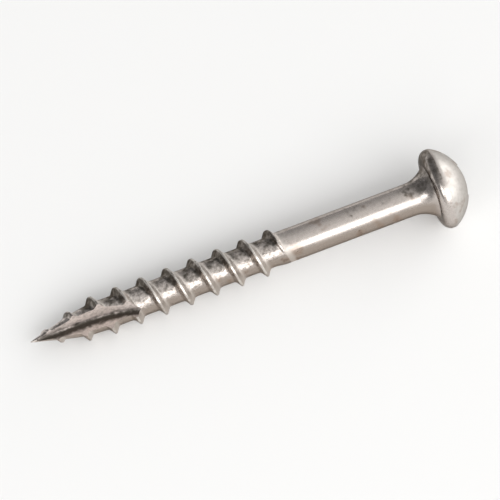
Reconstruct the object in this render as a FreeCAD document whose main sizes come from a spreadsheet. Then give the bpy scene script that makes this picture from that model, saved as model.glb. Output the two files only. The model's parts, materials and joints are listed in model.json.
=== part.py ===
import FreeCAD, Part
import math
import os

import Sketcher
from FreeCAD import Placement, Rotation, Vector

# Pocket hole screw: one cold-headed steel piece with a flared round head, a square recess,
# a plain shank, a coarse rolled thread and a flute milled into the point. Millimetres. It is
# drawn standing on its point along +Z, with the middle of the flute towards +X, and is laid
# down at the end the way it comes to rest: along +X, head high, on its rim and its thread.

doc = FreeCAD.newDocument("PocketHoleScrew")

# Driving dimensions: alias, value, meaning. Heights are measured from the point.
DIMENSIONS = [
    ("seat_height", 38.1, "seat under the head, the screw's nominal length"),
    ("root_dia", 2.74, "core between the threads"),
    ("shank_dia", 3.0, "plain shank above the thread"),
    ("thread_dia", 3.9, "over the thread's crests"),
    ("pitch", 2.4, "coarse thread with one start, right hand"),
    ("nose_dia", 0.06, "blunt end of the point"),
    ("point_angle", 14.8, "half angle of the point's cone"),
    ("point_length", 7.0, "height where the core is full"),
    ("shoulder_start", 22.6, "height where the core begins to swell into the shank"),
    ("shoulder_end", 23.9, "height where the shank is full"),
    ("flare_radius", 2.8, "concave flare under the head"),
    ("flare_dia", 4.95, "flare where it meets the seat"),
    ("head_dia", 7.4, "widest part of the head"),
    ("head_height", 3.3, "seat to the top of the dome"),
    ("rim_radius", 0.84, "round of the head's rim"),
    ("recess_width", 2.82, "square recess across its flats, level with the dome's top"),
    ("recess_depth", 2.2, "dome's top to the end of the square walls"),
    ("recess_taper", 2.5, "draft of the square walls"),
    ("recess_cone_dia", 2.5, "cone in the recess's floor"),
    ("recess_cone_depth", 0.5, "depth of that cone"),
    ("crest_width", 0.17, "land along the thread's crest"),
    ("flank_angle", 32.0, "half angle between the thread's flanks"),
    ("thread_sink", 0.12, "how far the ridge reaches into the core"),
    ("thread_start", 0.5, "height where the ridge grows out of the point"),
    ("crest_full", 6.3, "height where the crest reaches its full radius"),
    ("crest_power", 1.3, "roundness of the crest's line over the point"),
    ("thread_end", 23.95, "height where the ridge has sunk into the shank"),
    ("fade_turns", 0.34, "part of a turn in which the ridge grows or sinks"),
    ("crest_phase", 23.62, "height of the last crest at the middle of the flute"),
    ("flute_offset", 0.06, "flute's sharp corner to the screw's axis"),
    ("flute_round", 0.24, "round in the flute's corner"),
    ("flute_plunge", 33.0, "direction round the axis in which the cutter leaves"),
    ("chip_wall_angle", -37.0, "direction round the axis of the wide chip wall"),
    ("cutting_wall_angle", 48.0, "direction round the axis of the steep cutting wall"),
    ("flute_wall", 3.3, "walls of the cutter's section, which pass the crests"),
    ("flute_straight", 4.8, "length of the flute at its full depth"),
    ("cutter_radius", 12.0, "milling cutter, which gives the run-out its curve"),
    ("runout_sweep", 50.0, "turn of the cutter's section through the run-out"),
    ("lying_tilt", 3.22, "rise of the axis towards the head when the screw lies"),
    ("lying_roll", 205.0, "turn about the axis at which it rests, flute up"),
]

sheet = doc.addObject("Spreadsheet::Sheet", "Sizes")
for row, (alias, value, meaning) in enumerate(DIMENSIONS, start=1):
    sheet.set(f"A{row}", meaning)
    sheet.set(f"B{row}", str(value))
    sheet.setAlias(f"B{row}", alias)
doc.recompute()

# Points of a sketch's line or arc, and the sketch's own origin and vertical axis.
START, END, CENTRE = 1, 2, 3
ORIGIN = (-1, START)
VERTICAL_AXIS = -2


def new_sketch(body, name, role):
    sketch = body.newObject("Sketcher::SketchObject", name)
    plane = next(feature for feature in body.Origin.OriginFeatures if feature.Role == role)
    sketch.AttachmentSupport = [(plane, "")]
    sketch.MapMode = "FlatFace"
    return sketch


def relate(sketch, kind, *items):
    sketch.addConstraint(Sketcher.Constraint(kind, *items))


def measure(sketch, name, expression, kind, *items):
    # A dimension: it starts at the drawn size, and its value comes from the sheet.
    index = sketch.addConstraint(Sketcher.Constraint(kind, *items))
    sketch.renameConstraint(index, name)
    sketch.setExpression(f"Constraints.{name}", expression)


def circle_arc(centre, radius, first, last):
    return Part.ArcOfCircle(Part.Circle(centre, Vector(0, 0, 1), radius), first, last)


def direction(angle):
    return Vector(math.cos(angle), math.sin(angle), 0)


def ogive_radius():
    # The arc that is tangent to the point's cone and to the core.
    angle = math.radians(sheet.point_angle)
    overshoot = (sheet.nose_dia - sheet.root_dia) / 2 + sheet.point_length * math.tan(angle)
    return overshoot / (math.tan(angle) * math.sin(angle) + math.cos(angle) - 1)


def cone_height():
    # Where the point's cone meets that arc.
    return sheet.point_length - ogive_radius() * math.sin(math.radians(sheet.point_angle))


def core_radius(height):
    # Radius of the blank below its head, as its outline has it.
    root = sheet.root_dia / 2
    if height < cone_height():
        return sheet.nose_dia / 2 + max(height, 0) * math.tan(math.radians(sheet.point_angle))
    if height < sheet.point_length:
        ogive = ogive_radius()
        return root - ogive + math.sqrt(ogive**2 - (sheet.point_length - height)**2)
    swell = (height - sheet.shoulder_start) / (sheet.shoulder_end - sheet.shoulder_start)
    return root + (sheet.shank_dia / 2 - root) * min(max(swell, 0), 1)


def draw_outline(body):
    # The blank in one outline: point, core, shoulder, shank, flare, seat, rim and dome.
    nose, root, shank = sheet.nose_dia / 2, sheet.root_dia / 2, sheet.shank_dia / 2
    angle = math.radians(sheet.point_angle)
    ogive, flare, rim = ogive_radius(), sheet.flare_radius, sheet.rim_radius
    seat, apex = sheet.seat_height, sheet.seat_height + sheet.head_height
    flare_turn = math.acos(1 - (sheet.flare_dia / 2 - shank) / flare)
    flare_height = seat - flare * math.sin(flare_turn)
    rim_centre = Vector(sheet.head_dia / 2 - rim, seat + rim, 0)
    dome_top = apex - rim
    dome_height = (dome_top + rim_centre.y - rim_centre.x**2 / (dome_top - rim_centre.y)) / 2
    dome_start = math.atan2(rim_centre.y - dome_height, rim_centre.x)

    point = Vector(0, 0, 0)
    nose_edge = Vector(nose, 0, 0)
    cone_end = Vector(core_radius(cone_height()), cone_height(), 0)
    core_low = Vector(root, sheet.point_length, 0)
    core_high = Vector(root, sheet.shoulder_start, 0)
    shank_low = Vector(shank, sheet.shoulder_end, 0)
    shank_high = Vector(shank, flare_height, 0)
    seat_inner = Vector(sheet.flare_dia / 2, seat, 0)
    seat_outer = Vector(rim_centre.x, seat, 0)
    dome_centre = Vector(0, dome_height, 0)

    outline = new_sketch(body, "BlankOutline", "XZ_Plane")
    outline.addGeometry([
        Part.LineSegment(point, nose_edge),
        Part.LineSegment(nose_edge, cone_end),
        circle_arc(Vector(root - ogive, sheet.point_length, 0), ogive, -angle, 0),
        Part.LineSegment(core_low, core_high),
        Part.LineSegment(core_high, shank_low),
        Part.LineSegment(shank_low, shank_high),
        circle_arc(Vector(shank + flare, flare_height, 0), flare, math.pi - flare_turn, math.pi),
        Part.LineSegment(seat_inner, seat_outer),
        circle_arc(rim_centre, rim, -math.pi / 2, dome_start),
        circle_arc(dome_centre, apex - dome_height, dome_start, math.pi / 2),
        Part.LineSegment(Vector(0, apex, 0), point),
    ])
    NOSE, CONE, OGIVE, CORE, SHOULDER, SHANK, FLARE, SEAT, RIM, DOME, AXIS = range(11)

    relate(outline, "Coincident", NOSE, START, *ORIGIN)
    relate(outline, "Coincident", NOSE, END, CONE, START)
    relate(outline, "Tangent", CONE, END, OGIVE, START)
    relate(outline, "Tangent", OGIVE, END, CORE, START)
    relate(outline, "Coincident", CORE, END, SHOULDER, START)
    relate(outline, "Coincident", SHOULDER, END, SHANK, START)
    relate(outline, "Tangent", SHANK, END, FLARE, END)
    relate(outline, "Coincident", FLARE, START, SEAT, START)
    relate(outline, "Tangent", SEAT, END, RIM, START)
    relate(outline, "Tangent", RIM, END, DOME, START)
    relate(outline, "Coincident", DOME, END, AXIS, START)
    relate(outline, "Coincident", AXIS, END, NOSE, START)
    relate(outline, "PointOnObject", DOME, CENTRE, VERTICAL_AXIS)
    relate(outline, "PointOnObject", DOME, END, VERTICAL_AXIS)
    for level in (NOSE, SEAT):
        relate(outline, "Horizontal", level)
    for upright in (CORE, SHANK):
        relate(outline, "Vertical", upright)

    measure(outline, "nose", "Sizes.nose_dia / 2", "DistanceX", *ORIGIN, NOSE, END, nose)
    measure(outline, "cone", "(90 - Sizes.point_angle) * 1 deg",
            "Angle", CONE, math.pi / 2 - angle)
    measure(outline, "core", "Sizes.root_dia / 2", "DistanceX", *ORIGIN, CORE, START, root)
    measure(outline, "point", "Sizes.point_length",
            "DistanceY", *ORIGIN, CORE, START, core_low.y)
    measure(outline, "core_end", "Sizes.shoulder_start",
            "DistanceY", *ORIGIN, CORE, END, core_high.y)
    measure(outline, "shank_start", "Sizes.shoulder_end",
            "DistanceY", *ORIGIN, SHANK, START, shank_low.y)
    measure(outline, "shank", "Sizes.shank_dia / 2", "DistanceX", *ORIGIN, SHANK, START, shank)
    measure(outline, "flare", "Sizes.flare_radius", "Radius", FLARE, flare)
    measure(outline, "flare_edge", "Sizes.flare_dia / 2",
            "DistanceX", *ORIGIN, SEAT, START, seat_inner.x)
    measure(outline, "seat", "Sizes.seat_height", "DistanceY", *ORIGIN, SEAT, START, seat)
    measure(outline, "rim", "Sizes.rim_radius", "Radius", RIM, rim)
    measure(outline, "head", "Sizes.head_dia / 2 - Sizes.rim_radius",
            "DistanceX", *ORIGIN, RIM, CENTRE, rim_centre.x)
    measure(outline, "apex", "Sizes.seat_height + Sizes.head_height",
            "DistanceY", *ORIGIN, DOME, END, apex)
    return outline


def make_blank():
    # The cold-headed blank, turned from its outline.
    body = doc.addObject("PartDesign::Body", "Blank")
    outline = draw_outline(body)
    headed = body.newObject("PartDesign::Revolution", "HeadedWire")
    headed.Profile = outline
    headed.ReferenceAxis = (outline, ["V_Axis"])
    headed.Angle = 360
    return body


def draw_recess_mouth(body):
    mouth = new_sketch(body, "RecessMouth", "XY_Plane")
    mouth.setExpression("AttachmentOffset.Base.z", "Sizes.seat_height + Sizes.head_height")
    half = sheet.recess_width / 2
    corners = [Vector(x * half, y * half, 0) for x, y in ((-1, -1), (1, -1), (1, 1), (-1, 1))]
    mouth.addGeometry([Part.LineSegment(corners[i], corners[(i + 1) % 4]) for i in range(4)])
    SOUTH, EAST, NORTH, WEST = range(4)
    for side in (SOUTH, EAST, NORTH, WEST):
        relate(mouth, "Coincident", side, END, (side + 1) % 4, START)
    for side in (SOUTH, NORTH):
        relate(mouth, "Horizontal", side)
    for side in (EAST, WEST):
        relate(mouth, "Vertical", side)
    relate(mouth, "Symmetric", SOUTH, START, NORTH, START, *ORIGIN)
    measure(mouth, "across_x", "Sizes.recess_width",
            "DistanceX", SOUTH, START, SOUTH, END, sheet.recess_width)
    measure(mouth, "across_y", "Sizes.recess_width",
            "DistanceY", EAST, START, EAST, END, sheet.recess_width)
    return mouth


def draw_recess_floor(body):
    level = sheet.seat_height + sheet.head_height - sheet.recess_depth
    centre = Vector(0, level, 0)
    edge = Vector(sheet.recess_cone_dia / 2, level, 0)
    pit = Vector(0, level - sheet.recess_cone_depth, 0)
    floor = new_sketch(body, "RecessFloor", "XZ_Plane")
    floor.addGeometry([
        Part.LineSegment(centre, edge),
        Part.LineSegment(edge, pit),
        Part.LineSegment(pit, centre),
    ])
    LEVEL, SLOPE, AXIS = range(3)
    relate(floor, "Coincident", LEVEL, END, SLOPE, START)
    relate(floor, "Coincident", SLOPE, END, AXIS, START)
    relate(floor, "Coincident", AXIS, END, LEVEL, START)
    relate(floor, "PointOnObject", LEVEL, START, VERTICAL_AXIS)
    relate(floor, "Horizontal", LEVEL)
    relate(floor, "Vertical", AXIS)
    measure(floor, "cone", "Sizes.recess_cone_dia / 2",
            "DistanceX", LEVEL, START, LEVEL, END, edge.x)
    measure(floor, "depth", "Sizes.recess_cone_depth",
            "DistanceY", AXIS, START, AXIS, END, sheet.recess_cone_depth)
    measure(floor, "level", "Sizes.seat_height + Sizes.head_height - Sizes.recess_depth",
            "DistanceY", *ORIGIN, LEVEL, START, level)
    return floor


def cut_recess(body):
    # The square recess that is punched into the dome: walls with draft, and a coned floor.
    square = body.newObject("PartDesign::Pocket", "RecessWalls")
    square.Profile = draw_recess_mouth(body)
    square.Type = "Length"
    square.setExpression("Length", "Sizes.recess_depth")
    square.setExpression("TaperAngle", "-Sizes.recess_taper")
    doc.recompute()
    cone = body.newObject("PartDesign::Groove", "RecessCone")
    cone.Profile = draw_recess_floor(body)
    cone.ReferenceAxis = (cone.Profile[0], ["V_Axis"])
    cone.Angle = 360


def ease(part):
    # A smooth step from 0 to 1.
    part = min(max(part, 0), 1)
    return part * part * (3 - 2 * part)


def ridge_section(turn):
    # The ridge's corners in the half plane at this turn: base, two edges of the land, base.
    # Its crest follows a rounded cone over the point, and it sinks into the core at both ends.
    height = sheet.crest_phase + sheet.pitch * turn
    core = core_radius(height)
    nose = sheet.nose_dia / 2
    to_full = 1 - min(max(height / sheet.crest_full, 0), 1)
    crest = nose + (sheet.thread_dia / 2 - nose) * (1 - to_full**sheet.crest_power)
    fade = sheet.fade_turns * sheet.pitch
    grown = ease((height - sheet.thread_start) / fade) * ease((sheet.thread_end - height) / fade)
    sink = min(sheet.thread_sink, core / 2)
    top = core + (crest - core) * grown - sink / 2 * (1 - grown)
    half_land = sheet.crest_width / 2
    flank = math.tan(math.radians(sheet.flank_angle))
    half_base = half_land + (top - core + sink) * flank
    lower, upper = height - half_base, height + half_base
    corners = [(core_radius(lower) - sink, lower), (top, height - half_land),
               (top, height + half_land), (core_radius(upper) - sink, upper)]
    around = direction(2 * math.pi * turn)
    return [around * radius + Vector(0, 0, level) for radius, level in corners]


def make_ridge():
    # The rolled thread. Its height changes along its turns, which no single helix feature
    # gives, so four rails run through the corners of its sections, with faces between them.
    faces_per_turn, spans_per_face = 4, 4
    first = (sheet.thread_start - sheet.crest_phase) / sheet.pitch
    last = (sheet.thread_end - sheet.crest_phase) / sheet.pitch
    stretches = round((last - first) * faces_per_turn)
    count = stretches * spans_per_face
    turns = [first + (last - first) * i / count for i in range(count + 1)]
    sections = [ridge_section(turn) for turn in turns]
    rails = []
    for corner in range(4):
        rail = Part.BSplineCurve()
        rail.interpolate(Points=[section[corner] for section in sections], Parameters=turns)
        rails.append(rail)

    faces = [Part.Face(Part.makePolygon(end + end[:1])) for end in (sections[0], sections[-1])]
    for begin in range(0, count, spans_per_face):
        edges = []
        for rail in rails:
            edge = rail.copy()
            edge.segment(turns[begin], turns[begin + spans_per_face])
            edges.append(edge.toShape())
        faces += [Part.makeRuledSurface(edges[i], edges[(i + 1) % 4]) for i in range(4)]
    shell = Part.Shell(faces)
    shell.sewShape()
    solid = Part.Solid(shell)
    if solid.Volume < 0:
        solid.reverse()
    ridge = doc.addObject("Part::Feature", "ThreadRidge")
    ridge.Shape = solid
    return ridge


def draw_cutter_section(body, name):
    # The flute's section: a wide chip wall and a steep cutting wall with a round between
    # them, and the line that the cutter turns about. The walls aim at one sharp corner.
    plunge = math.radians(sheet.flute_plunge)
    chip = math.radians(sheet.chip_wall_angle)
    cutting = math.radians(sheet.cutting_wall_angle)
    half_opening = (cutting - chip) / 2
    corner = direction(plunge) * sheet.flute_offset
    hub = corner + direction(plunge) * sheet.cutter_radius
    hub_end = hub + direction(plunge + math.pi / 2) * sheet.cutter_radius
    to_centre = sheet.flute_round / math.sin(half_opening)
    round_centre = corner + direction(chip + half_opening) * to_centre
    to_wall = sheet.flute_round / math.tan(half_opening)
    chip_end = corner + direction(chip) * sheet.flute_wall
    cutting_end = corner + direction(cutting) * sheet.flute_wall

    sketch = new_sketch(body, name, "XY_Plane")
    sketch.addGeometry([
        Part.LineSegment(hub, hub_end),
        Part.LineSegment(Vector(0, 0, 0), corner),
        Part.LineSegment(corner, hub),
    ], True)
    sketch.addGeometry([
        Part.LineSegment(corner + direction(chip) * to_wall, chip_end),
        circle_arc(round_centre, sheet.flute_round,
                   cutting + math.pi / 2, chip + 3 * math.pi / 2),
        Part.LineSegment(corner + direction(cutting) * to_wall, cutting_end),
        Part.LineSegment(cutting_end, chip_end),
    ], False)
    HUB, OFFSET, RADIUS, CHIP, ROUND, CUTTING, MOUTH = range(7)
    CORNER = (OFFSET, END)

    relate(sketch, "Coincident", OFFSET, START, *ORIGIN)
    relate(sketch, "Coincident", RADIUS, START, *CORNER)
    relate(sketch, "Coincident", HUB, START, RADIUS, END)
    relate(sketch, "Perpendicular", HUB, RADIUS)
    relate(sketch, "Equal", HUB, RADIUS)
    relate(sketch, "PointOnObject", *CORNER, CHIP)
    relate(sketch, "PointOnObject", *CORNER, CUTTING)
    relate(sketch, "Tangent", CUTTING, START, ROUND, START)
    relate(sketch, "Tangent", CHIP, START, ROUND, END)
    relate(sketch, "Coincident", CUTTING, END, MOUTH, START)
    relate(sketch, "Coincident", MOUTH, END, CHIP, END)
    measure(sketch, "offset", "Sizes.flute_offset",
            "Distance", *ORIGIN, *CORNER, sheet.flute_offset)
    measure(sketch, "cutter", "Sizes.cutter_radius", "Distance", RADIUS, sheet.cutter_radius)
    measure(sketch, "corner_way", "Sizes.flute_plunge * 1 deg", "Angle", OFFSET, plunge)
    measure(sketch, "plunge_way", "Sizes.flute_plunge * 1 deg", "Angle", RADIUS, plunge)
    measure(sketch, "chip_way", "Sizes.chip_wall_angle * 1 deg", "Angle", CHIP, chip)
    measure(sketch, "cutting_way", "Sizes.cutting_wall_angle * 1 deg",
            "Angle", CUTTING, cutting)
    measure(sketch, "round", "Sizes.flute_round", "Radius", ROUND, sheet.flute_round)
    measure(sketch, "chip_wall", "Sizes.flute_wall",
            "Distance", *CORNER, CHIP, END, sheet.flute_wall)
    measure(sketch, "cutting_wall", "Sizes.flute_wall",
            "Distance", *CORNER, CUTTING, END, sheet.flute_wall)
    return sketch


def make_flute():
    # What the milling cutter takes away: a straight slot in the point, then the arc in which
    # the cutter leaves the core.
    body = doc.addObject("PartDesign::Body", "Flute")
    slot = body.newObject("PartDesign::Pad", "FluteSlot")
    slot.Profile = draw_cutter_section(body, "SlotSection")
    slot.Type = "Length"
    slot.setExpression("Length", "Sizes.flute_straight")
    doc.recompute()
    runout = body.newObject("PartDesign::Revolution", "FluteRunout")
    runout.Profile = draw_cutter_section(body, "RunoutSection")
    runout.Profile[0].setExpression("AttachmentOffset.Base.z", "Sizes.flute_straight")
    runout.ReferenceAxis = (runout.Profile[0], ["Axis0"])
    runout.setExpression("Angle", "Sizes.runout_sweep")
    return body


def cut_flute(name, base, flute):
    cut = doc.addObject("Part::Cut", name)
    cut.Base = base
    cut.Tool = flute
    return cut


def make_screw():
    # The flute crosses the core and the ridge, and the two become one piece of steel.
    blank = make_blank()
    doc.recompute()
    cut_recess(blank)
    flute = make_flute()
    doc.recompute()
    screw = doc.addObject("Part::Fuse", "pocket_hole_screw")
    screw.Base = cut_flute("FlutedBlank", blank, flute)
    screw.Tool = cut_flute("FlutedRidge", make_ridge(), flute)
    screw.Label = "pocket_hole_screw"
    doc.recompute()
    return screw


def lay_down(screw):
    # At rest the head's rim and one thread crest touch z = 0, and the box that holds the
    # screw is centred on the origin.
    roll = Rotation(Vector(0, 0, 1), sheet.lying_roll)
    tip_over = Rotation(Vector(0, 1, 0), 90 - sheet.lying_tilt)
    screw.Placement = Placement(Vector(0, 0, 0), tip_over * roll)
    doc.recompute()
    box = screw.Shape.optimalBoundingBox(False)
    screw.Placement.Base = Vector(-box.Center.x, -box.Center.y, -box.ZMin)


def check_document():
    broken = [item.Name for item in doc.Objects if {"Invalid", "Error"} & set(item.State)]
    if broken:
        raise RuntimeError(f"these objects failed: {broken}")
    for sketch in doc.findObjects("Sketcher::SketchObject"):
        if not sketch.FullyConstrained:
            raise RuntimeError(f"{sketch.Name} isn't fully constrained")


def check_shape(screw):
    # The flute must take material from the blank and from the ridge, and nothing may be lost
    # where the two meet.
    most_left_by_flute = 0.99
    volume_tolerance = 0.01
    shape = screw.Shape
    if shape.isNull() or not shape.isValid() or len(shape.Solids) != 1:
        raise RuntimeError("the screw isn't one valid solid")
    fluted_blank, fluted_ridge = screw.Base, screw.Tool
    for cut in (fluted_blank, fluted_ridge):
        if cut.Shape.Volume > cut.Base.Shape.Volume * most_left_by_flute:
            raise RuntimeError(f"{cut.Name} wasn't cut")
    shared = fluted_blank.Shape.common(fluted_ridge.Shape).Volume
    expected = fluted_blank.Shape.Volume + fluted_ridge.Shape.Volume - shared
    if abs(shape.Volume - expected) > volume_tolerance:
        raise RuntimeError(f"the screw has {shape.Volume} mm3, not {expected}")


screw = make_screw()
lay_down(screw)
doc.recompute()
check_document()
check_shape(screw)
os.makedirs("parts", exist_ok=True)
screw.Shape.exportStep(f"parts/{screw.Label}.step")
print(screw.Label, round(screw.Shape.Volume, 2), "mm3", screw.Shape.optimalBoundingBox(False))
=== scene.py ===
import json
import math

import bmesh
import bpy
from mathutils import Matrix, Vector


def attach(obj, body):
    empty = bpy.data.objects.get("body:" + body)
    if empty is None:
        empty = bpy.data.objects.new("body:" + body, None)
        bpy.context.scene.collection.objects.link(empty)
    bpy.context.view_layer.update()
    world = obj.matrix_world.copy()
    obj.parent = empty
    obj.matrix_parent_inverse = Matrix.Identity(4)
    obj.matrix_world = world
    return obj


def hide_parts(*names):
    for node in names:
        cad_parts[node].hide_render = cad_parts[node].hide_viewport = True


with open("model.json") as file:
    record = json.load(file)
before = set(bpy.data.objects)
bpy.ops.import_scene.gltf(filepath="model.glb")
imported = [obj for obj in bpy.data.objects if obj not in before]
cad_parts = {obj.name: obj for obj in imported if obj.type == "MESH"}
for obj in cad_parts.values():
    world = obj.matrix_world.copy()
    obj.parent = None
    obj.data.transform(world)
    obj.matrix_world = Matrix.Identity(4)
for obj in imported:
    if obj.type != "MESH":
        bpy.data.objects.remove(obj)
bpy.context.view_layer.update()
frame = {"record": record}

# The wire: drawn steel, 3 mm thick, whose upper end is cold-headed into a flare, a flat seat
# and a domed head. It is modelled standing on its point, in millimetres, and is turned round
# its axis from one outline. The thread is rolled into the part of it below the shank's foot.
ROUND_STEPS = 120
FLARE_STEPS, RIM_STEPS, DOME_STEPS = 14, 20, 22
SHANK_CUTS = 20
SHANK_RADIUS = 1.5
SHANK_FOOT = 25.2
SEAT_HEIGHT = 38.1
HEAD_TOP = 41.4
FLARE_RADIUS = 2.8
FLARE_REACH = 2.475
HEAD_RADIUS = 3.7
RIM_RADIUS = 0.84
AXIS = Vector((0, 0, 1))
TURN = 2 * math.pi
MERGE = 0.0005


def profile_point(x, z):
    return Vector((x, 0, z))


def draw_line(bm, start, end):
    # Carries a profile on from its last point, in a straight line.
    point = bmesh.ops.extrude_vert_indiv(bm, verts=[start])["verts"][0]
    point.co = end
    return point


def draw_arc(bm, start, centre, angle, steps):
    # Carries a profile on along an arc round this centre.
    arc = bmesh.ops.spin(bm, geom=[start], cent=centre, axis=(0, 1, 0), angle=angle, steps=steps)
    return arc["geom_last"][0]


flare_turn = math.acos(1 - (FLARE_REACH - SHANK_RADIUS) / FLARE_RADIUS)
flare_foot = SEAT_HEIGHT - FLARE_RADIUS * math.sin(flare_turn)
rim_centre = profile_point(HEAD_RADIUS - RIM_RADIUS, SEAT_HEIGHT + RIM_RADIUS)
rim_drop = HEAD_TOP - RIM_RADIUS - rim_centre.z
dome_centre = profile_point(0, rim_centre.z + (rim_drop - rim_centre.x**2 / rim_drop) / 2)
dome_start = math.atan2(rim_centre.z - dome_centre.z, rim_centre.x)

screw = bmesh.new()
end = screw.verts.new(profile_point(SHANK_RADIUS, SHANK_FOOT))
end = draw_line(screw, end, profile_point(SHANK_RADIUS, flare_foot))
end = draw_arc(screw, end, profile_point(SHANK_RADIUS + FLARE_RADIUS, flare_foot), flare_turn,
               FLARE_STEPS)
end = draw_line(screw, end, profile_point(rim_centre.x, SEAT_HEIGHT))
end = draw_arc(screw, end, rim_centre, -math.pi / 2 - dome_start, RIM_STEPS)
draw_arc(screw, end, dome_centre, dome_start - math.pi / 2, DOME_STEPS)
shank = max(screw.edges, key=lambda edge: edge.calc_length())
bmesh.ops.subdivide_edges(screw, edges=[shank], cuts=SHANK_CUTS)
bmesh.ops.spin(screw, geom=screw.verts[:] + screw.edges[:], axis=AXIS, angle=TURN,
               steps=ROUND_STEPS, use_merge=True)
bmesh.ops.remove_doubles(screw, verts=screw.verts, dist=MERGE)

# The thread: rolled into the wire's lower end from the point up, one start, right hand. Its
# ridge grows out of the point, runs at full height and sinks into the shank, with a small
# fillet at its root and a slightly worn crest.
CORE_RADIUS = 1.37
POINT_ANGLE = math.radians(14.8)
POINT_LENGTH = 7.0
NOSE_RADIUS = 0.03
SHOULDER = (22.6, 23.9)
PITCH = 2.4
TURNS = 12
CREST_RADIUS = 1.95
CREST_PHASE = 23.62
CREST_FULL = 6.3
CREST_POWER = 1.3
CREST_ROUND = 0.03
ROOT_FILLET = 0.16
RIDGE_START, RIDGE_END = 0.5, 23.95
FADE = 0.34 * PITCH
SINK = 0.06
HALF_LAND = 0.085
FLANK = math.tan(math.radians(32))
HALF_FOOT = 0.52
THREAD_TOP = 24.7
LAND_CUTS, FLANK_CUTS, CORE_CUTS = 2, 8, 4

ogive_radius = ((NOSE_RADIUS - CORE_RADIUS + POINT_LENGTH * math.tan(POINT_ANGLE))
                / (math.tan(POINT_ANGLE) * math.sin(POINT_ANGLE) + math.cos(POINT_ANGLE) - 1))
cone_height = POINT_LENGTH - ogive_radius * math.sin(POINT_ANGLE)


def smooth_step(value, start, stop):
    part = min(max((value - start) / (stop - start), 0), 1)
    return part * part * (3 - 2 * part)


def soft_positive(value, softness):
    # The value where it is positive, nothing where it isn't, and a soft turn between them.
    return (value + math.hypot(value, softness)) / 2


def core_at(z):
    if z < cone_height:
        return NOSE_RADIUS + max(z, 0) * math.tan(POINT_ANGLE)
    if z < POINT_LENGTH:
        return CORE_RADIUS - ogive_radius + math.sqrt(ogive_radius**2 - (POINT_LENGTH - z)**2)
    return CORE_RADIUS + (SHANK_RADIUS - CORE_RADIUS) * smooth_step(z, *SHOULDER)


def nearest_crest(angle, z):
    # The height of the crest nearest to this place.
    phase = CREST_PHASE + PITCH * angle / TURN
    return phase + PITCH * round((z - phase) / PITCH)


def thread_radius(angle, z):
    # The screw's radius at this angle round its axis and this height.
    crest = nearest_crest(angle, z)
    to_full = 1 - min(max(crest / CREST_FULL, 0), 1)
    crest_radius = NOSE_RADIUS + (CREST_RADIUS - NOSE_RADIUS) * (1 - to_full**CREST_POWER)
    grown = (smooth_step(crest, RIDGE_START, RIDGE_START + FADE)
             * (1 - smooth_step(crest, RIDGE_END - FADE, RIDGE_END)))
    top = (crest_radius - core_at(crest)) * grown - SINK * (1 - grown)
    flank = top + (HALF_LAND - abs(z - crest)) / FLANK
    height = top - soft_positive(top - flank, CREST_ROUND)
    return core_at(z) + soft_positive(height, ROOT_FILLET * grown)


def join(bm, other):
    # Adds another mesh to this one, and lets go of it.
    moved = bpy.data.meshes.new("moved")
    other.to_mesh(moved)
    other.free()
    bm.from_mesh(moved)
    bpy.data.meshes.remove(moved)


thread = bmesh.new()
lowest_crest = CREST_PHASE - PITCH * math.ceil(CREST_PHASE / PITCH + 1)
end = thread.verts.new(profile_point(CORE_RADIUS, lowest_crest - PITCH / 2))
for row in (-HALF_FOOT, -HALF_LAND, HALF_LAND, HALF_FOOT, PITCH / 2):
    end = draw_line(thread, end, profile_point(CORE_RADIUS, lowest_crest + row))
for edge in thread.edges[:]:
    from_crest = abs(sum(vert.co.z for vert in edge.verts) / 2 - lowest_crest)
    if from_crest < HALF_LAND:
        cuts = LAND_CUTS
    elif from_crest < HALF_FOOT:
        cuts = FLANK_CUTS
    else:
        cuts = CORE_CUTS
    bmesh.ops.subdivide_edges(thread, edges=[edge], cuts=cuts)
bmesh.ops.spin(thread, geom=thread.verts[:] + thread.edges[:], axis=AXIS,
               dvec=AXIS * PITCH / ROUND_STEPS, angle=TURN, steps=ROUND_STEPS)
one_turn = thread.verts[:] + thread.edges[:] + thread.faces[:]
for turn in range(1, TURNS):
    copy = bmesh.ops.duplicate(thread, geom=one_turn)["geom"]
    bmesh.ops.translate(thread, vec=AXIS * PITCH * turn,
                        verts=[item for item in copy if isinstance(item, bmesh.types.BMVert)])
bmesh.ops.remove_doubles(thread, verts=thread.verts, dist=MERGE)
for height, side in ((0, -1), (THREAD_TOP, 1)):
    bmesh.ops.bisect_plane(thread, geom=thread.verts[:] + thread.edges[:] + thread.faces[:],
                           dist=MERGE, plane_co=AXIS * height, plane_no=AXIS * side,
                           clear_outer=True)
for vert in thread.verts:
    angle = math.atan2(vert.co.y, vert.co.x)
    radius = thread_radius(angle, vert.co.z)
    vert.co = Vector((radius * math.cos(angle), radius * math.sin(angle), vert.co.z))
nose = [edge for edge in thread.edges if edge.is_boundary and edge.verts[0].co.z < MERGE]
bmesh.ops.edgeloop_fill(thread, edges=nose)

join(screw, thread)
bmesh.ops.bridge_loops(screw, edges=[edge for edge in screw.edges if edge.is_boundary])
bmesh.ops.recalc_face_normals(screw, faces=screw.faces)

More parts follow.
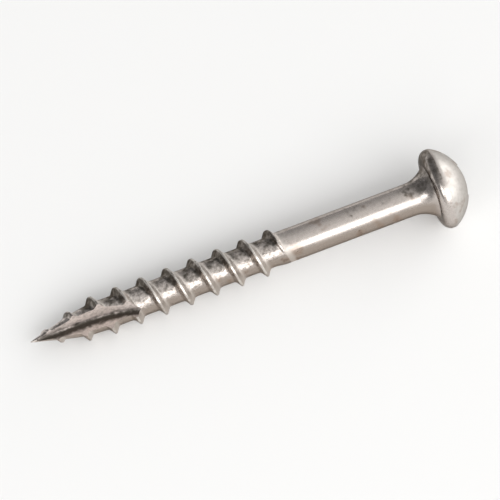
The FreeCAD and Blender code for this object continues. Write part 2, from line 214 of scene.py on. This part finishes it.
# The recess and the flute: a square punch with a little draft, rounded corners and a coned end
# is driven into the dome for the driver, and a milling cutter with a wide and a steep side
# takes a notch out of the point and leaves it along an arc.
RECESS_WIDTH = 2.82
RECESS_DEPTH = 2.2
RECESS_DRAFT = math.tan(math.radians(2.5))
RECESS_CORNER = 0.1
CONE_RADIUS, CONE_DEPTH = 1.25, 0.5
OVERLAP = 0.02
CLEAR = 0.6
FLUTE_OFFSET = 0.06
FLUTE_ROUND = 0.24
FLUTE_WALL = 3.3
FLUTE_STRAIGHT = 4.8
FLUTE_PLUNGE, CHIP_WALL, CUTTING_WALL = (math.radians(angle) for angle in (33, -37, 48))
CUTTER_RADIUS = 12.0
RUNOUT_SWEEP = math.radians(50)
ROUND_PROFILE = 0.5
RECESS_CORNER_STEPS, CONE_STEPS = 4, 48
FLUTE_ROUND_STEPS, RUNOUT_STEPS = 10, 40


def direction(angle):
    # Outwards from the axis of the standing screw, at this angle round it.
    return Vector((math.cos(angle), math.sin(angle), 0))


def prism(bm, foot_radius, top_radius, foot, top, sides):
    # A straight or tapering column round the axis. One of four sides stands square to X and Y.
    middle = Matrix.Translation(AXIS * (foot + top) / 2)
    bmesh.ops.create_cone(bm, cap_ends=True, segments=sides, radius1=foot_radius,
                          radius2=top_radius, depth=top - foot,
                          matrix=middle @ Matrix.Rotation(TURN / 8, 4, "Z"))
    bmesh.ops.remove_doubles(bm, verts=bm.verts, dist=MERGE)


def make_object(name, bm, finish):
    bmesh.ops.recalc_face_normals(bm, faces=bm.faces)
    mesh = bpy.data.meshes.new(name)
    bm.to_mesh(mesh)
    bm.free()
    mesh.materials.append(finish)
    made = bpy.data.objects.new(name, mesh)
    bpy.context.scene.collection.objects.link(made)
    return made


punch = bmesh.new()
recess_floor = HEAD_TOP - RECESS_DEPTH
half_floor = RECESS_WIDTH / 2 - RECESS_DEPTH * RECESS_DRAFT
half_mouth = RECESS_WIDTH / 2 + CLEAR * RECESS_DRAFT
prism(punch, half_floor * math.sqrt(2), half_mouth * math.sqrt(2), recess_floor,
      HEAD_TOP + CLEAR, sides=4)
corners = [edge for edge in punch.edges if abs(edge.verts[0].co.z - edge.verts[1].co.z) > CLEAR]
bmesh.ops.bevel(punch, geom=corners, offset=RECESS_CORNER, offset_type="OFFSET",
                segments=RECESS_CORNER_STEPS, profile=ROUND_PROFILE, affect="EDGES", material=-1)

punch_cone = bmesh.new()
prism(punch_cone, 0, CONE_RADIUS * (1 + OVERLAP / CONE_DEPTH), recess_floor - CONE_DEPTH,
      recess_floor + OVERLAP, CONE_STEPS)

cutter = bmesh.new()
corner = direction(FLUTE_PLUNGE) * FLUTE_OFFSET - AXIS * CLEAR
section = [cutter.verts.new(point) for point in (
    corner, corner + direction(CHIP_WALL) * FLUTE_WALL,
    corner + direction(CUTTING_WALL) * FLUTE_WALL)]
cutter.faces.new(section)
half_opening = (CUTTING_WALL - CHIP_WALL) / 2
bmesh.ops.bevel(cutter, geom=section[:1], offset=FLUTE_ROUND / math.tan(half_opening),
                offset_type="OFFSET", segments=FLUTE_ROUND_STEPS, profile=ROUND_PROFILE,
                affect="VERTICES", material=-1)
slot = bmesh.ops.extrude_face_region(cutter, geom=cutter.faces[:])["geom"]
bmesh.ops.translate(cutter, vec=AXIS * (FLUTE_STRAIGHT + CLEAR),
                    verts=[item for item in slot if isinstance(item, bmesh.types.BMVert)])
hub = corner + direction(FLUTE_PLUNGE) * CUTTER_RADIUS + AXIS * (FLUTE_STRAIGHT + CLEAR)
bmesh.ops.spin(cutter, geom=slot, cent=hub, axis=direction(FLUTE_PLUNGE + TURN / 4),
               angle=RUNOUT_SWEEP, steps=RUNOUT_STEPS)

rolled_steel = bpy.data.materials.new("rolled_steel")
milled_steel = bpy.data.materials.new("milled_steel")
steel_screw = make_object("steel_screw", screw, rolled_steel)
tools = [make_object("punch", punch, rolled_steel),
         make_object("punch_cone", punch_cone, rolled_steel),
         make_object("cutter", cutter, milled_steel)]
for tool in tools:
    cut = steel_screw.modifiers.new(tool.name, "BOOLEAN")
    cut.operation = "DIFFERENCE"
    cut.solver = "EXACT"
    cut.material_mode = "TRANSFER"
    cut.object = tool
depsgraph = bpy.context.evaluated_depsgraph_get()
cut_mesh = bpy.data.meshes.new_from_object(steel_screw.evaluated_get(depsgraph))
steel_screw.modifiers.clear()
steel_screw.data = cut_mesh
for tool in tools:
    bpy.data.objects.remove(tool)

# The finished screw: one piece of steel whose sharp edges keep their corners. It is tipped over
# and laid where the solid lies, and stands for it. Its crests and flanks are marked for the
# finish: a flank counts as positive towards the head and as negative towards the point.
SHARP = math.radians(34)
MILLIMETRE = 0.001
LYING_ROLL = math.radians(205)
WORN_HEIGHT = (0.54, 0.578)
FLANK_EDGE = (0.03, 0.07)
FLANK_FOOT = (0.4, 0.8)
PLACE_DIGITS = 6


def rounded(vert):
    # The corner's place without its last digits, which differ from one cut to the next.
    return [round(x, PLACE_DIGITS) for x in vert.co]


def from_lowest(loop):
    # The loop's corners in the same order, from its lowest number on.
    start = loop.index(min(loop))
    return loop[start:] + loop[:start]


# The cuts give the corners and faces in another order each time, so they get a fixed one here.
in_order = sorted(cut_mesh.vertices, key=lambda vert: (rounded(vert), vert.co[:]))
number = {vert.index: rank for rank, vert in enumerate(in_order)}
loops = sorted((from_lowest([number[index] for index in face.vertices]), face.material_index)
               for face in cut_mesh.polygons)
bm = bmesh.new()
corners = [bm.verts.new(rounded(vert)) for vert in in_order]
for loop, finish in loops:
    bm.faces.new([corners[index] for index in loop]).material_index = finish
bmesh.ops.remove_doubles(bm, verts=bm.verts, dist=MERGE)
for face in bm.faces:
    face.smooth = True
for edge in bm.edges:
    edge.smooth = edge.calc_face_angle(math.pi) < SHARP
crest_wear = bm.verts.layers.float.new("crest_wear")
flank_side = bm.verts.layers.float.new("flank_side")
for vert in bm.verts:
    if vert.co.z < THREAD_TOP:
        across = vert.co.z - nearest_crest(math.atan2(vert.co.y, vert.co.x), vert.co.z)
        height = math.hypot(vert.co.x, vert.co.y) - core_at(vert.co.z)
        vert[crest_wear] = smooth_step(height, *WORN_HEIGHT)
        on_flank = (smooth_step(abs(across), *FLANK_EDGE)
                    * (1 - smooth_step(abs(across), *FLANK_FOOT)))
        vert[flank_side] = math.copysign(on_flank, across)
recess = next(mount for mount in frame["record"]["mounts"] if mount["name"] == "square_recess")
screw_axis = Vector(recess["axis"])
head_top = Vector(recess["pos_m"])
lay_down = screw_axis.rotation_difference(AXIS).inverted()
place = (Matrix.Translation(head_top - screw_axis * HEAD_TOP * MILLIMETRE)
         @ lay_down.to_matrix().to_4x4() @ Matrix.Rotation(LYING_ROLL, 4, "Z")
         @ Matrix.Scale(MILLIMETRE, 4))
bm.transform(place)
bm.to_mesh(steel_screw.data)
bm.free()
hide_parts("pocket_hole_screw")
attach(steel_screw, "root")

# The grain that every face of the screw has: bright metal with fine lines drawn along it, dull
# patches and brown handling stains. Sizes are in millimetres. Two numbers say where a change
# starts and stops, and four say as well from what value it goes to what.
PLAIN = (1, 1, 1, 1)
DIM = (0.52, 0.51, 0.49, 1)
LINE_SIZE = 1.0
LINE_STRETCH = (7, 7, 0.5)
COARSE_GRAIN = 0.30
FINE_GRAIN = 0.09
PATCH_SIZE = 1.6
DIM_GRAIN = (0.62, 0.30)
PATCH_ROUGHNESS = (0.35, 0.65, 0.20, 0.31)
LINE_ROUGHNESS = (0.35, 0.65, -0.03, 0.04)
STAINED_PATCH = (0.58, 0.70)
FINE_HEIGHT = 0.5


def fill(tree, node, inputs):
    # Gives each of these inputs its value, or joins it to another node's output.
    for name, value in inputs.items():
        if isinstance(value, bpy.types.NodeSocket):
            tree.links.new(value, node.inputs[name])
        else:
            node.inputs[name].default_value = value


def add(tree, kind, inputs, **settings):
    # A new node of this kind, with these inputs and settings.
    made = tree.nodes.new("ShaderNode" + kind)
    for setting, value in settings.items():
        setattr(made, setting, value)
    fill(tree, made, inputs)
    return made


def blend(tree, factor, low, high, blend_type="MIX"):
    # A colour between two.
    return add(tree, "Mix", {"Factor": factor, "A": low, "B": high}, data_type="RGBA",
               blend_type=blend_type).outputs["Result"]


def noise_at(tree, vector, size, detail=3.0):
    # Noise whose lumps are about this many millimetres across.
    return add(tree, "TexNoise", {"Vector": vector, "Scale": 1 / size,
                                  "Detail": detail}).outputs["Fac"]


def ramp(tree, value, start, stop, low=0.0, high=1.0):
    # Goes softly from low to high while the value goes from start to stop.
    return add(tree, "MapRange", {"Value": value, "From Min": start, "From Max": stop,
                                  "To Min": low, "To Max": high},
               interpolation_type="SMOOTHSTEP").outputs["Result"]


def maths(tree, operation, first, second):
    return add(tree, "Math", {0: first, 1: second}, operation=operation).outputs["Value"]


def add_parts(tree, value, parts):
    # Adds each part to the value, times its weight.
    for part, weight in parts:
        value = maths(tree, "ADD", value, maths(tree, "MULTIPLY", part, weight))
    return value


def new_group(name, inputs, outputs):
    group = bpy.data.node_groups.new(name, "ShaderNodeTree")
    for side, sockets in (("INPUT", inputs), ("OUTPUT", outputs)):
        for socket, kind in sockets.items():
            group.interface.new_socket(socket, in_out=side, socket_type="NodeSocket" + kind)
    return group, group.nodes.new("NodeGroupInput"), group.nodes.new("NodeGroupOutput")


metal_grain, grain_in, grain_out = new_group(
    "metal_grain", {"Place": "Vector", "Lines": "Float", "Mottle": "Float"},
    {"Tint": "Color", "Roughness": "Float", "Height": "Float", "Stain": "Float"})
on_screw = grain_in.outputs["Place"]
stretched = add(metal_grain, "Mapping", {"Vector": on_screw, "Scale": LINE_STRETCH})
lines = noise_at(metal_grain, stretched.outputs["Vector"], LINE_SIZE)
coarse = noise_at(metal_grain, on_screw, COARSE_GRAIN)
fine = noise_at(metal_grain, on_screw, FINE_GRAIN, detail=2.0)
patches = noise_at(metal_grain, on_screw, PATCH_SIZE, detail=4.0)
lined = maths(metal_grain, "MULTIPLY", lines, grain_in.outputs["Lines"])
dimmed = maths(metal_grain, "MULTIPLY", ramp(metal_grain, coarse, *DIM_GRAIN),
               grain_in.outputs["Mottle"])
fill(metal_grain, grain_out, {
    "Tint": blend(metal_grain, dimmed, PLAIN, DIM),
    "Roughness": maths(metal_grain, "ADD", ramp(metal_grain, patches, *PATCH_ROUGHNESS),
                       ramp(metal_grain, lines, *LINE_ROUGHNESS)),
    "Height": add_parts(metal_grain, lined, [(fine, FINE_HEIGHT)]),
    "Stain": ramp(metal_grain, patches, *STAINED_PATCH),
})

# The rolled steel: bright zinc, semi-polished and worn on the thread's crests. Its lower front
# side is painted darker, a painted shade, and its flanks towards the head lighter, a painted
# highlight. A dark painted shade lies on the far side, on the flanks towards the point and under
# the head, and a brown stain sits at the shank's foot.
ZINC = (0.60, 0.545, 0.508, 1)
DOME_ZINC = (0.64, 0.605, 0.57, 1)
# This colour is both the wear on the crests and a painted highlight on the flanks towards the
# head.
WORN_AND_HIGHLIT_ZINC = (0.76, 0.72, 0.67, 1)
# A painted shade: this tint darkens the screw's lower front side.
NEAR_SHADE_TINT = (0.61, 0.57, 0.53, 1)
# A painted shade: this dark colour lies on the far side, on the flanks towards the point and
# under the head.
PAINTED_SHADE_COLOUR = (0.078, 0.069, 0.056, 1)
BROWN_STAIN = (0.30, 0.21, 0.155, 1)
# A painted shade: this edge tint darkens the metal's reflection where it is seen edge-on.
SHADED_EDGE_TINT = (0.35, 0.34, 0.33, 1)
FAR_SHADED_SIDE = Vector((0, 0.95, 0.30))
NEAR_SHADED_SIDE = Vector((0, -0.99, 0.13))
TO_POINT = (5.5, 2.5)
TO_THREAD = (24.6, 23.4)
TO_FLARE = (34.6, 36.6)
BELOW_SEAT = (38.4, 37.6)
TO_DOME = (38.9, 39.3)
UNSHADED_DOME = (38.9, 39.15)
ROLLED_LINES = 0.3
ROLLED_MOTTLE = (*TO_THREAD, 0.22, 1.0)
NEAR_SHADE_EDGE = (0.78, 0.96)
SPOT_SIZE = 0.6
WORN_SPOTS = (0.30, 0.62, 0.25, 1.0)
WORN_POLISH = 0.8
# A painted highlight: the flanks towards the head are lightened.
FLANK_HIGHLIGHT = 0.35
SHADE_NOISE_SIZE = 0.8
FAR_SHADE_EDGE = (-0.5, 1.5)
FAR_SHADE_ON_FLANKS = (-0.2, 1.2, 0.1, 1.0)
FLANK_SHADE_WEIGHT = 0.36
FLARE_SHADE_WEIGHT = 0.30
THREAD_SHADE_WEIGHT = 0.02
FAR_THREAD_SHADE_WEIGHT = 0.20
FAR_SIDE_SHADE_WEIGHT = 0.05
HEAD_FLANK_UNSHADED = -0.22
DOME_UNSHADED = -0.55
POINT_UNSHADED = -0.4
SHADE_COVER = (0.62, 0.88, 0.0, 0.92)
SHADE_GAP_SIZE = 0.35
SHADE_GAPS = (0.32, 0.60, 0.60, 1.0)
SHADE_WEAKER_AT_HEAD = (35.0, 37.0, 1.0, 0.80)
SHANK_STAIN = (1.31, 0.73, 24.9)
STAIN_EDGE = (0.30, -0.15)
STAIN_STRENGTH = 0.5
# Painted highlights: how far the edge tint is lifted back towards white on the head's flanks and
# the dome.
FLANK_EDGE_HIGHLIGHT = 0.7
DOME_EDGE_HIGHLIGHT = 0.15
SHADE_DULLNESS = 0.10
DOME_DULLNESS = 0.12
FLANK_DULLNESS = 0.24
LUMP_SIZE = 0.40
LUMP_HEIGHT = 17.0
ROLLED_DEPTH = 0.004
FLANK_SMOOTHNESS = (0.1, 0.6, 1.0, 0.08)


def start_finish(material):
    # The material's nodes, and the place on the standing screw in millimetres.
    material.use_nodes = True
    tree = material.node_tree
    stand_up = add(tree, "Mapping", {
        "Vector": add(tree, "TexCoord", {}).outputs["Object"],
        "Location": place.to_translation(), "Rotation": place.to_euler(),
        "Scale": place.to_scale()}, vector_type="TEXTURE")
    return tree, stand_up.outputs["Vector"]


def add_grain(tree, spot, line_height, mottle):
    return add(tree, "Group", {"Place": spot, "Lines": line_height, "Mottle": mottle},
               node_tree=metal_grain).outputs


def height_on(tree, spot):
    # The height on the standing screw.
    return add(tree, "SeparateXYZ", {"Vector": spot}).outputs["Z"]


def along(tree, vector, way):
    # How far the vector reaches this way.
    return add(tree, "VectorMath", {0: vector, 1: way}, operation="DOT_PRODUCT").outputs["Value"]


def tinted(tree, colour, tint):
    return blend(tree, 1.0, colour, tint, blend_type="MULTIPLY")


def raised(tree, height, depth, strength=1.0):
    # Lumps and lines that catch the light, up to this many millimetres deep.
    return add(tree, "Bump", {"Strength": strength, "Distance": depth * MILLIMETRE,
                              "Height": height}).outputs["Normal"]


tree, spot = start_finish(rolled_steel)
height_up = height_on(tree, spot)
threaded = ramp(tree, height_up, *TO_THREAD)
on_dome = ramp(tree, height_up, *TO_DOME)
at_point = ramp(tree, height_up, *TO_POINT)
grain = add_grain(tree, spot, ROLLED_LINES, ramp(tree, height_up, *ROLLED_MOTTLE))
spots = noise_at(tree, spot, SPOT_SIZE, detail=4.0)
to_far_shaded_side, to_near_shaded_side = (
    (place.inverted().to_3x3() @ side).normalized() for side in (FAR_SHADED_SIDE, NEAR_SHADED_SIDE))
from_axis = along(tree, spot, to_far_shaded_side)
outward = add(tree, "Mapping", {"Vector": spot, "Scale": (1, 1, 0)}, vector_type="POINT")
facing_out = add(tree, "VectorMath", {0: outward.outputs["Vector"]}, operation="NORMALIZE")
on_near_shaded_side = along(tree, facing_out.outputs["Vector"], to_near_shaded_side)
# The painted shade along the lower front side, below the seat.
near_shaded = maths(tree, "MULTIPLY", ramp(tree, on_near_shaded_side, *NEAR_SHADE_EDGE),
               ramp(tree, height_up, *BELOW_SEAT))
flank_side = add(tree, "Attribute", {}, attribute_name="flank_side").outputs["Fac"]
point_flank = maths(tree, "MAXIMUM", maths(tree, "MULTIPLY", flank_side, -1.0), 0.0)
head_flank = maths(tree, "MAXIMUM", flank_side, 0.0)
crest_wear = add(tree, "Attribute", {}, attribute_name="crest_wear").outputs["Fac"]
worn = maths(tree, "MULTIPLY", crest_wear, ramp(tree, spots, *WORN_SPOTS))

# The painted shade's edge is ragged: each place that is shaded adds to the same noise, and each
# place that is kept clear of it takes away.
far_shaded = ramp(tree, from_axis, *FAR_SHADE_EDGE)
far_shaded_thread = maths(tree, "MULTIPLY", threaded, far_shaded)
far_shaded_flank = maths(tree, "MULTIPLY", point_flank, ramp(tree, from_axis, *FAR_SHADE_ON_FLANKS))
far_shaded_flare = maths(tree, "MULTIPLY", ramp(tree, height_up, *TO_FLARE), far_shaded)
shade_amount = add_parts(tree, noise_at(tree, spot, SHADE_NOISE_SIZE, detail=6.0), (
    (far_shaded_flank, FLANK_SHADE_WEIGHT), (far_shaded_flare, FLARE_SHADE_WEIGHT), (threaded, THREAD_SHADE_WEIGHT),
    (far_shaded_thread, FAR_THREAD_SHADE_WEIGHT), (far_shaded, FAR_SIDE_SHADE_WEIGHT),
    (head_flank, HEAD_FLANK_UNSHADED), (ramp(tree, height_up, *UNSHADED_DOME), DOME_UNSHADED),
    (at_point, POINT_UNSHADED)))
shade_strength = maths(tree, "MULTIPLY", ramp(tree, noise_at(tree, spot, SHADE_GAP_SIZE), *SHADE_GAPS),
                  ramp(tree, height_up, *SHADE_WEAKER_AT_HEAD))
painted_shade = maths(tree, "MULTIPLY", ramp(tree, shade_amount, *SHADE_COVER), shade_strength)

zinc = tinted(tree, blend(tree, on_dome, ZINC, DOME_ZINC),
              blend(tree, near_shaded, grain["Tint"], NEAR_SHADE_TINT))
from_stain = add(tree, "VectorMath", {0: spot, 1: SHANK_STAIN}, operation="DISTANCE")
stain_edge = maths(tree, "SUBTRACT", from_stain.outputs["Value"], spots)
stain = maths(tree, "MAXIMUM", grain["Stain"], ramp(tree, stain_edge, *STAIN_EDGE))
stained = blend(tree, maths(tree, "MULTIPLY", stain, STAIN_STRENGTH), zinc, BROWN_STAIN)
# The dark painted shade is laid over the metal here.
shaded_metal = blend(tree, painted_shade, stained, PAINTED_SHADE_COLOUR)
# Wear on the crests, and a painted highlight on the flanks towards the head.
worn_and_highlit = maths(tree, "MAXIMUM", maths(tree, "MULTIPLY", worn, WORN_POLISH),
                 maths(tree, "MULTIPLY", head_flank, FLANK_HIGHLIGHT))

# Seen edge-on the metal's reflection is darkened, a painted shade along the outlines, except on
# the flanks towards the head, the point and, a little, the dome, where it stays bright, a
# painted highlight.
edge_highlight = maths(tree, "MAXIMUM", maths(tree, "MULTIPLY", head_flank, FLANK_EDGE_HIGHLIGHT), at_point)
edge_highlight = maths(tree, "MAXIMUM", edge_highlight, maths(tree, "MULTIPLY", on_dome, DOME_EDGE_HIGHLIGHT))
lumps = maths(tree, "MULTIPLY", noise_at(tree, spot, LUMP_SIZE), threaded)
off_flanks = ramp(tree, maths(tree, "ABSOLUTE", flank_side, 0.0), *FLANK_SMOOTHNESS)
fill(tree, tree.nodes["Principled BSDF"], {
    "Metallic": 1.0,
    "Base Color": blend(tree, worn_and_highlit, shaded_metal, WORN_AND_HIGHLIT_ZINC),
    "Specular Tint": blend(tree, edge_highlight, SHADED_EDGE_TINT, PLAIN),
    "Roughness": add_parts(tree, grain["Roughness"], (
        (painted_shade, SHADE_DULLNESS), (on_dome, DOME_DULLNESS), (head_flank, FLANK_DULLNESS))),
    "Normal": raised(tree, add_parts(tree, grain["Height"], [(lumps, LUMP_HEIGHT)]),
                     ROLLED_DEPTH, off_flanks),
})

# The milled steel: the flute's walls, cut after the rolling, paler and matt with the cutter's
# lines. A dark painted shade fills its corner and covers the cutting wall up to near the lip,
# which is followed along the run-out.
MILLED = (0.83, 0.745, 0.70, 1)
# A painted shade: this dark colour fills the flute's corner and covers its cutting wall.
PAINTED_FLUTE_SHADE = (0.05, 0.043, 0.034, 1)
MILLED_LINES = 1.6
MILLED_MOTTLE = 0.5
MILLED_DULLNESS = 0.36
MILLED_DEPTH = 0.008
RAGGED_SIZE = 0.5
RAGGED_REACH = 0.7
FLUTE_SHADE_EDGE = (-0.10, 0.36, 0.0, 0.95)
LIP_EDGE = (1.40, 0.85, 0.15, 1.0)

tree, spot = start_finish(milled_steel)
grain = add_grain(tree, spot, MILLED_LINES, MILLED_MOTTLE)
past_straight = maths(tree, "MAXIMUM", maths(tree, "SUBTRACT", height_on(tree, spot),
                                             FLUTE_STRAIGHT), 0.0)
runout_rise = maths(tree, "DIVIDE", maths(tree, "POWER", past_straight, 2.0), 2 * CUTTER_RADIUS)
ragged = maths(tree, "MULTIPLY", noise_at(tree, spot, RAGGED_SIZE, detail=4.0), RAGGED_REACH)
out_of_flute = maths(tree, "ADD", along(tree, spot, direction(FLUTE_PLUNGE)), ragged)
to_lip = maths(tree, "SUBTRACT", out_of_flute, runout_rise)
to_cutting_wall = maths(tree, "ADD", along(tree, spot, direction(FLUTE_PLUNGE + TURN / 4)),
                        ragged)
# Where the flute's painted shade lies.
painted_shade = maths(tree, "MULTIPLY", ramp(tree, to_cutting_wall, *FLUTE_SHADE_EDGE),
               ramp(tree, to_lip, *LIP_EDGE))
fill(tree, tree.nodes["Principled BSDF"], {
    "Metallic": 1.0,
    "Base Color": blend(tree, painted_shade, tinted(tree, MILLED, grain["Tint"]), PAINTED_FLUTE_SHADE),
    # The edge tint darkens the reflection seen edge-on, a painted shade.
    "Specular Tint": SHADED_EDGE_TINT,
    "Roughness": maths(tree, "ADD", grain["Roughness"], MILLED_DULLNESS),
    "Normal": raised(tree, grain["Height"], MILLED_DEPTH),
})

# The table that it lies on: a plain pale sheet of matt painted board, larger than any view of
# the screw.
TABLE_SIZE = 3.0
TABLE_COLOUR = (0.88, 0.88, 0.875, 1)
TABLE_ROUGHNESS = 0.9

table_top = bmesh.new()
bmesh.ops.create_grid(table_top, x_segments=1, y_segments=1, size=TABLE_SIZE)
table_paint = bpy.data.materials.new("pale_table")
table = make_object("table", table_top, table_paint)
table_paint.use_nodes = True
tree = table_paint.node_tree
fill(tree, tree.nodes["Principled BSDF"], {
    "Base Color": TABLE_COLOUR, "Roughness": TABLE_ROUGHNESS, "Specular IOR Level": 0.0})

# The studio: walls that are dark beyond the screw's point and pale beyond its head, with a soft
# box in front, a larger and weaker one low beyond the head, and a small strong one on the
# point's side.
WALL_DARK = (0.22, 0.22, 0.225, 1)
WALL_BRIGHT = (0.90, 0.895, 0.885, 1)
TOWARDS_BRIGHT = Vector((0.8, -0.6, 0))
WALL_TURN = (-0.75, 0.2)
SOFT_BOXES = {
    "front_box": dict(azimuth=8, elevation=41, width=0.70, height=0.38, radiance=2.1),
    "head_box": dict(azimuth=92, elevation=16, width=0.9, height=0.55, radiance=1.15),
    "point_box": dict(azimuth=-55, elevation=36, width=0.22, height=0.24, radiance=2.6),
}
BOX_DISTANCE = 0.6

studio = bpy.data.worlds.new("studio")
bpy.context.scene.world = studio
studio.use_nodes = True
walls = studio.node_tree
where = add(walls, "TexCoord", {}).outputs["Generated"]
to_bright = ramp(walls, along(walls, where, TOWARDS_BRIGHT.normalized()), *WALL_TURN)
fill(walls, walls.nodes["Background"], {
    "Color": blend(walls, to_bright, WALL_DARK, WALL_BRIGHT)})


def outwards(azimuth, elevation):
    # Away from the screw, at this azimuth from -Y towards +X and this elevation, in degrees.
    turn, rise = math.radians(azimuth), math.radians(elevation)
    return Vector((math.sin(turn) * math.cos(rise), -math.cos(turn) * math.cos(rise),
                   math.sin(rise)))


def soft_box(name, azimuth, elevation, width, height, radiance):
    # A lamp's power is its radiance times its area and pi.
    lamp = bpy.data.lights.new(name, "AREA")
    lamp.shape = "RECTANGLE"
    lamp.size, lamp.size_y = width, height
    lamp.energy = radiance * width * height * math.pi
    away = outwards(azimuth, elevation)
    made = bpy.data.objects.new(name, lamp)
    made.location = away * BOX_DISTANCE
    made.rotation_mode = "QUATERNION"
    made.rotation_quaternion = away.to_track_quat("Z", "Y")
    bpy.context.scene.collection.objects.link(made)


for name, place_and_light in SOFT_BOXES.items():
    soft_box(name, **place_and_light)

# The camera: it stands where the photograph was taken from, so far away that its long lens shows
# hardly any perspective, and it takes in as much as the photograph does.
CAMERA_AZIMUTH, CAMERA_ELEVATION = -21.40, 62.5
VIEW_WIDTH = 0.044242
VIEW_CENTRE = Vector((0, 0, 0.003))
VIEW_SHIFT = (0.0001876, 0.0007875)
LENS = 500

towards = outwards(CAMERA_AZIMUTH, CAMERA_ELEVATION)
camera_turn = towards.to_track_quat("Z", "Y")
camera = bpy.data.objects.new("camera", bpy.data.cameras.new("camera"))
camera.data.lens = LENS
distance = VIEW_WIDTH * LENS / camera.data.sensor_width
camera.location = VIEW_CENTRE + camera_turn @ Vector((*VIEW_SHIFT, 0)) + towards * distance
camera.rotation_mode = "QUATERNION"
camera.rotation_quaternion = camera_turn
bpy.context.scene.collection.objects.link(camera)
bpy.context.scene.camera = camera
bpy.context.scene.view_settings.view_transform = "Standard"
